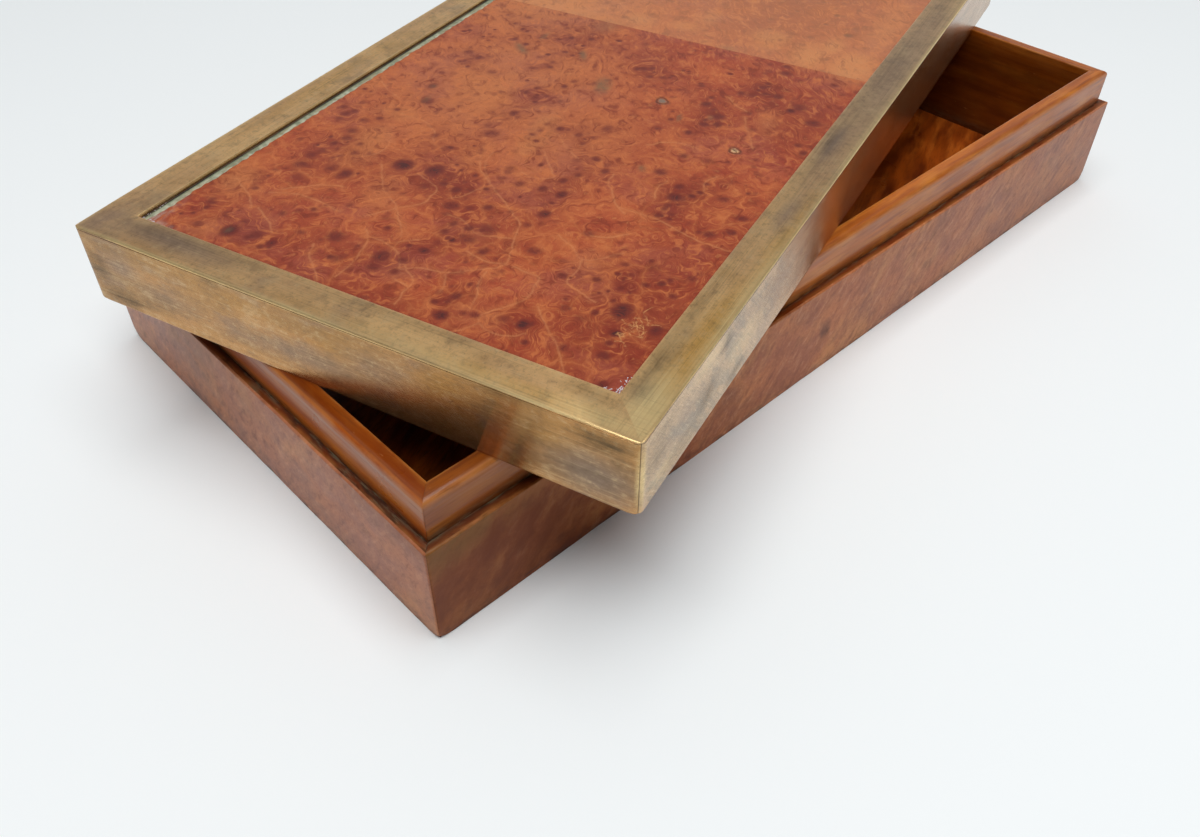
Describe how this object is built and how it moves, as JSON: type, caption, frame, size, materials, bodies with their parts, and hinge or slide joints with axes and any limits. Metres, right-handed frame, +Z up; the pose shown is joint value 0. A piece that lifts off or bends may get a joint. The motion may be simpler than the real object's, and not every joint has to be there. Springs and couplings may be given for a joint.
{
  "type": "lidded box",
  "caption": "Flat wooden box veneered in burl, with a raised inner lip and a lift-off lid edged in brass angle, lying turned on the lip.",
  "frame": {"origin": "centre of the box's underside, where it stands", "axes": "+X along the box's long side, +Y along its short side, +Z up"},
  "size_m": [0.39, 0.2792, 0.0742],
  "materials": {
    "brass": "aged, brushed lengthwise, satin",
    "lid_burl": "red-brown burl, satin lacquer",
    "lid_burl_light": "lighter golden burl, satin lacquer",
    "wall_burl": "brown burl, gloss lacquer",
    "lip_wood": "orange-brown straight grain, gloss lacquer",
    "ledge_wood": "orange-brown straight grain, worn lacquer",
    "floor_wood": "figured orange-brown, gloss lacquer",
    "bottom_wood": "plain brown wood, thin lacquer",
    "rail_wood": "plain brown wood, thin lacquer",
    "core_wood": "bare wood, hidden",
    "lining_wood": "red-brown wood, satin lacquer"
  },
  "bodies": {
    "box": {"bottom_board": "bottom_wood", "floor_veneer": "floor_wood", "front_wall_board": "ledge_wood", "front_burl_veneer": "wall_burl", "front_lip_board": "lip_wood", "right_wall_board": "ledge_wood", "right_burl_veneer": "wall_burl", "right_lip_board": "lip_wood", "back_wall_board": "ledge_wood", "back_burl_veneer": "wall_burl", "back_lip_board": "lip_wood", "left_wall_board": "ledge_wood", "left_burl_veneer": "wall_burl", "left_lip_board": "lip_wood"},
    "lid": {"lid_core_board": "core_wood", "lid_lining": "lining_wood", "lid_burl_leaf_left": "lid_burl", "lid_burl_leaf_right": "lid_burl_light", "front_brass_angle": "brass", "front_lid_rail": "rail_wood", "right_brass_angle": "brass", "right_lid_rail": "rail_wood", "back_brass_angle": "brass", "back_lid_rail": "rail_wood", "left_brass_angle": "brass", "left_lid_rail": "rail_wood"}
  },
  "joints": [
    {"name": "lid_lift", "type": "slide", "parent": "box", "child": "lid", "axis": [0, 0, 1], "range_m": [0, 0.06]}
  ]
}
